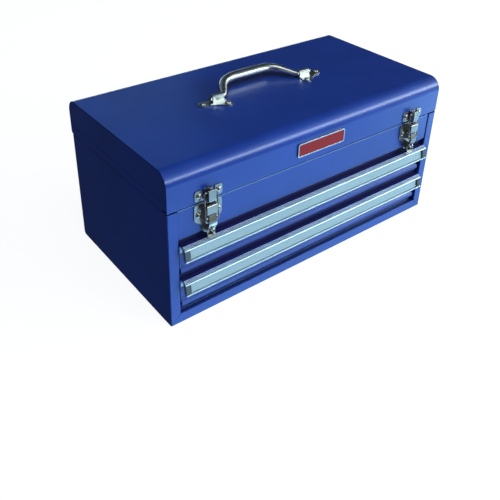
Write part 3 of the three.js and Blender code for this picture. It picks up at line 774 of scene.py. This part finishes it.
LID_RADIUS = 20.0
LID_REAR_EDGE = 183.45
HEM = 5.0
HEM_STEP = 0.4


def lid_run(inset=0.0):
    radius = LID_RADIUS - inset
    front, back, top = FRONT + inset, LID_BACK - inset, LID_TOP - inset
    return [
        *arc((front + radius, top - radius), radius, 180, 90, 20),
        *arc((back - radius, top - radius), radius, 90, 0, 20),
    ]


def lid_shell():
    lip = [(FRONT + 9, LID_BOTTOM), (FRONT, LID_BOTTOM), (FRONT, LID_BOTTOM + 10)]
    run = rounded(lip, [0, 1.8, 0], 6)[:-1] + lid_run() + [(LID_BACK, LID_REAR_EDGE)]
    # the sheet is doubled in a hem at each end
    plain, doubled = sheet_section(run), sheet_section(run, 2 * SHEET)
    hem_in = LID_HALF - HEM
    places = [(LID_HALF, doubled), (hem_in, doubled), (hem_in - HEM_STEP, plain)]
    shell = loft("x", [(-x, points) for x, points in places] + places[::-1])
    for name, _ in SIDES:
        holes = rivet_holes(name, "keeper", FRONT - 2, FRONT + 4)
        holes += rivet_holes(name, "bracket", LID_TOP - 4, LID_TOP + 2)
        shell = without(shell, *holes)
    painted("lid_shell", shell, "lid", 0.3)


def lid_end_cap(name, side):
    inset, edge = 2.1, 2.6
    bottom = LID_BOTTOM + edge
    face = [(FRONT + inset, bottom), *lid_run(inset), (LID_BACK - inset, bottom)]
    cap = prism(face, "x", *ends(side, LID_HALF - SHEET, LID_HALF))
    # a band along the bottom reaches out to the cabinet's width
    band = rectangle((FRONT + 10.5, LID_BACK - edge), (LID_BOTTOM, 192.1))
    band = rounded(band, [0, 0, 0, 1.2], 4, closed=True)
    cap = combine(cap, prism(band, "x", *ends(side, LID_HALF - SHEET, HALF)))
    painted(name + "_lid_end_cap", cap, "lid", 0.22)


# ------------------------------------------------------------------ draw latches

# places and outlines are given as for out(): distance behind the front plane, and height
PIVOT = (-6, 158)
LOOP_LOW = (-9, 154)
LOOP_HIGH = (-5.6, 196.4)
LOOP_HALF = 10
LOOP_WIRE = 1.0
EYE = (-6, 139.25)
EYE_RADIUS = 6.75
EYE_LOW, EYE_HIGH = EYE[1] - EYE_RADIUS, EYE[1] + EYE_RADIUS
HOUSING_HALF = 8
CHEEK = 1.2
PIN_BORE = 1.4


def keeper(name, x):
    half, bottom, top = 21.0, 184.5, 199.8
    ears = rounded(rectangle((x - half, x + half), (bottom, top)), 3.6, 6, closed=True)
    through = (FRONT - 3, FRONT + 1)
    slots = [block(ends(side, 5.9, 10.0, x), through, (186.8, top + 1)) for side in (-1, 1)]
    plate = prism(ears, "y", FRONT - 1.3, FRONT - 0.3)
    plate = without(plate, *slots, *rivet_holes(name, "keeper", *through))
    # the hook: a strip bent out and up to a short lip, between two cheeks
    strip = rounded([
        (-0.4, 183), (-10, 183), (-10, 200.5), (-8.2, 200.5),
        (-8.2, 199.2), (-8.9, 199.2), (-8.9, 184.1), (-0.4, 184.1),
    ], [0, 2.2, 1.2, 0.3, 0, 0, 1.1, 0], 6, closed=True)
    parts = [prism(out(strip), "x", x - 5.5, x + 5.5)]
    cheek = [(-0.4, 183.3), (-9.6, 183.3), (-9.6, 194.6), (-0.4, 195)]
    cheek = rounded(cheek, [0, 2.0, 1.0, 0.5], 5, closed=True)
    for side in (-1, 1):
        parts.append(prism(out(cheek), "x", *ends(side, 4.4, 5.45, x)))
    latch_plated(name + "_latch_keeper", combine(plate, *parts), "lid", bevel=0.42, segments=3)


def ogee(x):
    """The base plate's outline: square shoulders drawn in to a rounded tongue."""
    top, waist, bottom = 179.0, 159.0, 132.6
    half, neck = 21.25, 9.5
    right = [(half, waist)]
    right += bezier((half, waist), (half, 149), (neck, 153), (neck, 142))
    right += bezier((neck, 142), (neck, 136), (5.5, bottom), (0, bottom))
    shoulder = rounded([(0, top), (half, top), (half, waist)], [0, 3.2, 0], 6)
    path = shoulder[:-1] + right
    left = facing(path, -1)[::-1][1:-1]
    return [(x + a, b) for a, b in path + left]


def latch_base(name, x):
    plate = prism(ogee(x), "y", FRONT, FRONT + 1)
    pivot, shackle = out([PIVOT, (-9.3, EYE[1])])
    # the housing: a box pressed out of the plate, open below, with cheeks that carry the pin
    run = rounded([(0.5, 178.5), (-10, 178.5), (-10, 165.2)], [0, 2.6, 0], 7)
    parts = [prism(sheet_section(out(run)[::-1], 1.0), "x", x - HOUSING_HALF, x + HOUSING_HALF)]
    cheek = rounded([
        (0.2, 178.2), (-9.5, 178.2), (-9.5, 165.2), (-5.2, 165.2), (-5.2, 154.8), (0.2, 153.5),
    ], [0, 2.3, 0.4, 1.0, 0.8, 0], 5, closed=True)
    for side in (-1, 1):
        cheek_x = ends(side, HOUSING_HALF - CHEEK, HOUSING_HALF, x)
        parts.append(prism(out(cheek), "x", *cheek_x))
        parts.append(disc("x", pivot, 3.2, *cheek_x, sides=28))
    # the padlock eye stands out through the lever's slot
    eye = [(0.4, EYE_HIGH), *arc(EYE, EYE_RADIUS, 90, 270, 20), (0.4, EYE_LOW)]
    eye_plate = prism(out(eye), "x", x - 0.8, x + 0.8)
    parts.append(without(eye_plate, disc("x", shackle, 2.3, x - 3, x + 3, 24)))
    holes = rivet_holes(name, "base", FRONT - 2, FRONT + 2)
    holes.append(disc("x", pivot, PIN_BORE, x - 12, x + 12, 20))
    bm = without(combine(plate, *parts), *holes)
    latch_plated(name + "_latch_base", bm, "cabinet", bevel=0.45, segments=3)


def latch_lever(name, x):
    # seen from the side: a crown round the pin and the wire, and a blade that curls out at its tip
    crown = [*arc(PIVOT, 5, 10, 128, 12), *arc(LOOP_LOW, 2.4, 165, 185, 3)]
    blade = [
        (-11.7, 151.6), (-11.1, 149), (-10.3, 146.9), (-6.5, 139.5), (-5.9, 135.5),
        (-7.1, 131.7), (-10.1, 128.8), (-9.3, 127.9), (-6.1, 130.9), (-4.7, 135.4),
        (-5.3, 139), (-8.9, 146.3), (-9.3, 148.6), (-7.4, 151.2), (-4.6, 153.4),
    ]
    outline = rounded(crown + blade, [0] * len(crown) + [1.2] * len(blade), 4, closed=True)
    blank = prism(out(outline), "x", x - 7, x + 7)
    # seen from the front: straight sides that spread to a round tip
    half = 6.3
    angles = [math.radians(180 + 10 * i) for i in range(19)]
    tip = [(x + half * math.cos(a), 133.6 + 5.9 * math.sin(a)) for a in angles]
    face = rounded([(x - 5.0, 166), (x - 5.2, 160), (x - half, 151)], [0, 6, 6], 5)
    other = [(2 * x - a, b) for a, b in face[::-1]]
    through = (FRONT - 16, FRONT + 1)
    bm = combine(blank, prism(face + tip + other, "y", *through), how="INTERSECT")
    slot = rectangle((x - 1.9, x + 1.9), (EYE_LOW - 0.6, EYE_HIGH + 0.6))
    slot = rounded(slot, 1.85, 6, closed=True)
    pivot, loop = out([PIVOT, LOOP_LOW])
    bm = without(
        bm,
        prism(slot, "y", *through),
        disc("x", loop, LOOP_WIRE + 0.3, x - 12, x + 12, 20),
        disc("x", pivot, PIN_BORE, x - 12, x + 12, 20),
    )
    latch_plated(name + "_latch_lever", bm, name + "_lever", segments=3)


def latch_loop(name, x):
    low, high = [Vector(place) for place in out([LOOP_LOW, LOOP_HIGH])]
    length = (high - low).length
    flat = rounded(rectangle((-LOOP_HALF, LOOP_HALF), (0, length)), 3.4, 8, closed=True)
    points = []
    for across, up in flat:
        place = low.lerp(high, up / length)
        points.append((x + across, place.x, place.y))
    wire = tube(points, LOOP_WIRE, 14, closed=True)
    latch_plated(name + "_latch_loop", wire, name + "_loop", bevel=0, angle=60)


def latches():
    for name, _ in SIDES:
        x = centre_of(name + "_latch_base", "y")[0]
        keeper(name, x)
        latch_base(name, x)
        latch_lever(name, x)
        latch_loop(name, x)
        pin(name + "_latch_pin", "latch_steel", "nickel", 0.85)


# ------------------------------------------------------------------ carry handle

HANDLE_PIVOT = (4.6, LID_TOP + 5.6)
PEG_RADIUS = 3.4
PEG_BORE = 4.0


def bracket(name, side):
    node = name + "_handle_bracket"
    foot = span(node)[0][2]
    top = foot + 1.1
    # the plate: an ear round each rivet, joined by a waist under the saddle
    outer, inner, ear = (109, 3), (76, -13), 7.2
    outer_ear = arc(outer, ear, -75, 95, 16)
    inner_ear = arc(inner, ear, 165, 300, 14)
    front = [(97, 8.6), (89, 9.8), (76, 9.8), (71.5, 7), (72.2, -2)]
    back = [(88, -11.5), (98, -7)]
    radii = [0] * len(outer_ear) + [3, 3, 2, 2, 4] + [0] * len(inner_ear) + [5, 8]
    outline = rounded(outer_ear + front + inner_ear + back, radii, 5, closed=True)
    plate = prism(facing(outline, side), "z", foot, top)
    y, z = HANDLE_PIVOT
    saddle = rounded([
        (y - 4.7, foot), (y - 4.7, z + 1.9), (y - 2.6, z + 4.7),
        (y + 2.6, z + 4.7), (y + 4.7, z + 1.9), (y + 4.7, foot),
    ], [0, 0.9, 0.9, 0.9, 0.9, 0], 4, closed=True)
    bm = combine(plate, prism(saddle, "x", *ends(side, 73, 92.5)))
    bore = disc("x", HANDLE_PIVOT, PEG_BORE, *ends(side, 60, 94.5), sides=28)
    bm = without(bm, bore, *rivet_holes(name, "bracket", foot - 2, top + 2))
    chromed(node, bm, "lid", segments=3)


def carry_handle():
    pivot_y, pivot_z = HANDLE_PIVOT
    grip_y, grip_z, grip_radius = 41.0, LID_TOP + 11.9, 7.3
    # half the bar as (x, y, z, radius), from its bend beside a bracket to the grip
    half = [
        (74, pivot_y, pivot_z, PEG_RADIUS),
        (70.5, 5.6, pivot_z + 0.1, 3.8),
        (67, 9.8, pivot_z + 0.8, 4.5),
        (61.5, 18, pivot_z + 2.4, 5.3),
        (55.5, 26.8, grip_z - 2.3, 6.1),
        (48, 34.0, grip_z - 0.9, 6.7),
        (38, 38.8, grip_z - 0.2, 7.0),
        (27, 40.7, grip_z, 7.2),
        (14, grip_y, grip_z, grip_radius),
    ]
    whole = half + [(0, grip_y, grip_z, grip_radius)] + [(-x, *rest) for x, *rest in half[::-1]]
    peg = [(x, pivot_y, pivot_z, PEG_RADIUS) for x in (94, 84)]
    route = peg + smooth_route(whole, 6) + [(-x, *rest) for x, *rest in peg[::-1]]
    bm = tube([p[:3] for p in route], [p[3] for p in route], 28)
    # the pegs' ends are flattened into tabs outside the saddles
    tab = rectangle((pivot_y - 3.6, pivot_y + 3.6), (pivot_z - 2.6, pivot_z + 2.6))
    tab = rounded(tab, 1.4, 5, closed=True)
    for side in (-1, 1):
        bm = combine(bm, prism(tab, "x", *ends(side, 93.2, 95.6)))
    chromed("carry_handle", bm, "handle", angle=40)


# ------------------------------------------------------------------ name plate

RIM_WIDTH = 1.7


def name_plate():
    low, high = span("blank_name_plate")
    front = low[1]
    x, z = (low[0], high[0]), (low[2], high[2])
    inner = rectangle(x, z, RIM_WIDTH)
    plate = prism(rounded(rectangle(x, z), 3.2, 8, closed=True), "y", front, high[1])
    recess = prism(rounded(inner, 1.8, 6, closed=True), "y", front - 1, front + 0.5)
    rim = without(plate, recess)
    piece("name_plate_rim", rim, "lid", "name_plate", "rim", ("blank_name_plate",), bevel=0.25, segments=3)
    gap = 0.08
    inner = [(a + (gap if a < 0 else -gap), b) for a, b in inner]
    enamel = prism(rounded(inner, 1.7, 6, closed=True), "y", front + 0.22, front + 0.48)
    piece("name_plate_field", enamel, "lid", "name_plate", "red", ("blank_name_plate",), bevel=0.12)


# ------------------------------------------------------------------ drawers


def drawer_front(level, base):
    low, high = span(level + "_drawer_front")
    top = high[2]
    run = rounded([
        (7, base), (2.5, base), (2.5, base + 5.4), (6, base + 9),
        (6, base + 44), (6, top), (14, top),
    ], [0, 1.1, 1.3, 1.3, 0, 1.1, 0], 5)
    front = prism(sheet_section(out(run)), "x", low[0], high[0])
    # the upper wall behind the pull takes the dark navy: painted shade
    for face in front.faces:
        if face.normal.y < -0.7 and face.calc_center_median().z > base + 45:
            face.material_index = INLAY
    painted(level + "_drawer_front", front, level + "_drawer", 0.2, inlays=("paint_recess_shade",))


def drawer_tray(level):
    node = level + "_drawer_tray"
    low, high = span(node)
    x, y = (low[0], high[0]), (low[1], high[1])
    tray = prism(rounded(rectangle(x, y), 2.0, 5, closed=True), "z", low[2], high[2])
    inside = rounded(rectangle(x, y, SHEET), 1.3, 5, closed=True)
    tray = without(tray, prism(inside, "z", low[2] + SHEET, high[2] + PAST))
    skin(node, tray, level + "_drawer", "tray_paint", "tray", edge="tray_edge_highlight_and_wear", bevel=0.25)


def pull(level, base):
    """The extruded pull: a flat rear, a grooved slope, a channel for the strip and a lip below it."""
    node = level + "_drawer_pull"
    low, high = span(node)
    start, end = Vector((-3, base + 46.6)), Vector((-8, base + 43.2))
    slope = (end - start).normalized()
    inward = Vector((-slope.y, slope.x))
    grooves = []
    for i in range(3):
        middle = start.lerp(end, 0.19 + 0.31 * i)
        for along, deep in ((-0.72, 0), (-0.6, 0.4), (0.6, 0.4), (0.72, 0)):
            grooves.append(tuple(middle + slope * along + inward * deep))
    section = [
        (5.6, base + 46.6), tuple(start), *grooves, tuple(end),
        (-8.4, base + 42.6), (-8.45, base + 41.6), (-8.1, base + 41.2),
        (-4.2, base + 41.2), (-6.9, base + 27),
        (-10.5, base + 26.9), (-10.85, base + 26.5), (-10.85, base + 25.4), (-10.5, base + 25),
        (-6.6, base + 25), (-5.4, base + 26), (-2.4, base + 41.6), (-1.6, base + 43.6),
        (4.2, base + 43.6), (4.2, base + 33), (5.6, base + 33),
    ]
    bm = prism(out(section), "x", low[0], high[0])
    length = high[0] - low[0]
    for face in bm.faces:
        # the flat rear of the top takes the dark navy: painted shade and a painted reflection of the dark
        # recess
        if face.normal.z > 0.95 and face.calc_center_median().z > base + 46:
            face.material_index = INLAY
        # the groove floors on the slope take the blue-grey: a painted reflection of the blue paint above
        elif 0.6 < face.normal.z < 0.9 and face.calc_area() > 1.0 * length:
            face.material_index = INLAY + 1
    skin(node, bm, level + "_drawer", "pull_aluminium", "aluminium",
         inlays=("paint_recess_shade", "groove"), bevel=0.12, angle=28)


def pull_strip(level, base):
    """The pale strip in the pull's channel, with fine ribs along it."""
    node = level + "_pull_strip"
    low, high = span(node)
    top, bottom = Vector((-5.9, base + 40.6)), Vector((-8.4, base + 27.6))
    section = []
    ribs = 6
    for i in range(ribs):
        start, end, dip = [top.lerp(bottom, (i + part) / ribs) for part in (0, 0.7, 0.82)]
        section += [tuple(start), tuple(end), (dip.x + 0.35, dip.y)]
    section += [tuple(bottom), (-7.2, base + 27.6), (-4.7, base + 40.6)]
    bm = prism(out(section), "x", low[0], high[0])
    length = high[0] - low[0]
    for face in bm.faces:
        if face.normal.y < -0.1 and 0.2 * length < face.calc_area() < 1.0 * length:
            face.material_index = INLAY
    skin(node, bm, level + "_drawer", "pull_strip", "strip",
         inlays=("strip_line",), bevel=0.06, segments=1, angle=20)


def pull_cap(level, name, base):
    node = f"{level}_{name}_pull_cap"
    low, high = span(node)
    section = [(-8.5, base + 40.8), (-4.6, base + 40.8), (-7.2, base + 27.4), (-10.7, base + 27.4)]
    bm = prism(out(rounded(section, 0.5, 3, closed=True)), "x", low[0], high[0])
    skin(node, bm, level + "_drawer", "cap_plastic", "cap", segments=3)


def drawers():
    for level in LEVELS:
        base = span(level + "_drawer_front")[0][2]
        drawer_front(level, base)
        drawer_tray(level)
        pull(level, base)
        pull_strip(level, base)
        for name, _ in SIDES:
            pull_cap(level, name, base)


# ------------------------------------------------------------------ slides

SLIDE_WEB = 237.9
SLIDE_FLANGE = 230.5
SPACER = 10


def channel(side, web, flange, heights, y):
    """A rolled channel with rounded bends, from its flanges' edges and its web.

    Its run goes from the first height to the second, and the sheet lies to the right of the run.
    """
    first, second = heights
    run = facing(rounded([(flange, first), (web, first), (web, second), (flange, second)], 1.3, 5), side)
    if side < 0:
        run = run[::-1]
    return prism(sheet_section(run), "y", *y)


def cabinet_slide(level, name, side):
    """A channel that opens inwards, held off the side panel by two spacers."""
    node = f"{level}_{name}_cabinet_slide"
    low, high = span(node)
    bm = channel(side, SLIDE_WEB, SLIDE_FLANGE, (high[2], low[2]), (low[1], high[1]))
    middle = (low[2] + high[2]) / 2
    spacer_x = ends(side, SLIDE_WEB - 0.6, HALF - SHEET - 0.4)
    spacer_z = (middle - SPACER / 2, middle + SPACER / 2)
    for y in (FRONT + 18, BACK - 30):
        bm = combine(bm, block(spacer_x, (y, y + SPACER), spacer_z))
    skin(node, bm, "cabinet", "slide_steel", "slide", bevel=0.2)


def drawer_rail(level, name, side):
    """A channel whose web lies on the tray and whose flanges point outwards."""
    node = f"{level}_{name}_drawer_rail"
    low, high = span(node)
    inner, outer = sorted((abs(low[0]), abs(high[0])))
    bm = channel(side, inner, outer, (low[2], high[2]), (low[1], high[1]))
    skin(node, bm, level + "_drawer", "slide_steel", "slide", bevel=0.2)


# ------------------------------------------------------------------ build

for side_name, side_sign in SIDES:
    side_panel(side_name, side_sign)
bottom_pan()
upper_front_panel()
back_panel()
compartment_floor()
hinge()
lid_shell()
for side_name, side_sign in SIDES:
    lid_end_cap(side_name, side_sign)
rivets()
latches()
for side_name, side_sign in SIDES:
    bracket(side_name, side_sign)
carry_handle()
name_plate()
drawers()
for slide_level in LEVELS:
    for side_name, side_sign in SIDES:
        cabinet_slide(slide_level, side_name, side_sign)
        drawer_rail(slide_level, side_name, side_sign)

# ------------------------------------------------------------------ floor, light and camera

COOL_WHITE = (0.8, 0.93, 1.0)
KEY_WHITE = (0.85, 0.99, 0.9)
SKY = (0.36, 0.68, 1.0)
FLOOR_REACH = 30.0
LAMP_TARGET = Vector((0.0, 0.0, 0.12))
LAMP_DISTANCE = 4.0


def stage():
    bm = bmesh.new()
    reach = (-FLOOR_REACH, FLOOR_REACH)
    bm.faces.new([bm.verts.new((x, y, 0.0)) for x, y in rectangle(reach, reach)])
    mesh = bpy.data.meshes.new("floor")
    bm.to_mesh(mesh)
    bm.free()
    floor = bpy.data.objects.new("floor", mesh)
    bpy.context.collection.objects.link(floor)
    material, _, _, shader = new_material("pale_floor")
    shader.inputs["Base Color"].default_value = (0.3, 0.3, 0.3, 1.0)
    shader.inputs["Roughness"].default_value = 0.9
    shader.inputs["Emission Color"].default_value = (1.0, 1.0, 1.0, 1.0)
    shader.inputs["Emission Strength"].default_value = 0.9
    mesh.materials.append(material)
    floor.visible_diffuse = False
    floor.visible_glossy = False
    floor.visible_shadow = False


def softbox(name, azimuth, elevation, width, height, radiance, tint=COOL_WHITE):
    """A rectangular lamp. Azimuth turns from +X towards +Y; width and height are the angles it fills."""
    turn, rise = math.radians(azimuth), math.radians(elevation)
    toward = Vector((math.cos(rise) * math.cos(turn), math.cos(rise) * math.sin(turn), math.sin(rise)))
    light = bpy.data.lights.new(name, "AREA")
    light.shape = "RECTANGLE"
    light.size = 2 * LAMP_DISTANCE * math.tan(math.radians(width / 2))
    light.size_y = 2 * LAMP_DISTANCE * math.tan(math.radians(height / 2))
    light.color = tint
    light.energy = radiance * math.pi * light.size * light.size_y
    lamp = bpy.data.objects.new(name, light)
    bpy.context.collection.objects.link(lamp)
    lamp.location = LAMP_TARGET + toward * LAMP_DISTANCE
    lamp.rotation_euler = (-toward).to_track_quat("-Z", "Y").to_euler()


def lights():
    softbox("key_strip", 315, 18.5, 62, 14, 6.4, KEY_WHITE)
    softbox("key_glow", 315, 37, 62, 18, 0.6, SKY)
    softbox("floor_mirror", 316, -36, 56, 28, 1.2, SKY)
    softbox("right_low", 338, -13, 30, 22, 2.6, SKY)
    softbox("floor_bounce", 285, -72, 60, 34, 3.5, SKY)
    softbox("right_side", 0, 14, 26, 26, 2.0)
    softbox("overhead", 250, 66, 40, 36, 1.8)
    softbox("rear_high", 78, 26, 36, 30, 0.25, SKY)
    softbox("rear_low", 70, -12, 50, 30, 2.0)
    softbox("left_fill", 205, 0, 40, 40, 0.4)
    world = bpy.data.worlds.new("studio")
    world.use_nodes = True
    background = world.node_tree.nodes["Background"]
    background.inputs["Color"].default_value = (*COOL_WHITE, 1.0)
    background.inputs["Strength"].default_value = 0.03
    bpy.context.scene.world = world


def camera():
    """A look down on the left front corner, fitted to the box's own edges. Pitch is downwards."""
    heading, pitch, roll = math.radians(37.68), math.radians(29.8), math.radians(1.18)
    place = Vector((-0.5854, -0.6974, 0.6351))
    flat = math.cos(pitch)
    forward = Vector((math.sin(heading) * flat, math.cos(heading) * flat, -math.sin(pitch)))
    level = forward.cross(Vector((0, 0, 1))).normalized()
    rise = level.cross(forward)
    right = level * math.cos(roll) + rise * math.sin(roll)
    up = right.cross(forward)
    data = bpy.data.cameras.new("camera")
    data.sensor_width = 36.0
    data.lens = 47.2
    data.shift_x = 0.0251
    data.shift_y = -0.1821
    obj = bpy.data.objects.new("camera", data)
    bpy.context.collection.objects.link(obj)
    turn = Matrix((right, up, -forward)).transposed()
    obj.matrix_world = Matrix.Translation(place) @ turn.to_4x4()
    bpy.context.scene.camera = obj


stage()
lights()
camera()
bpy.context.scene.view_settings.view_transform = "Standard"
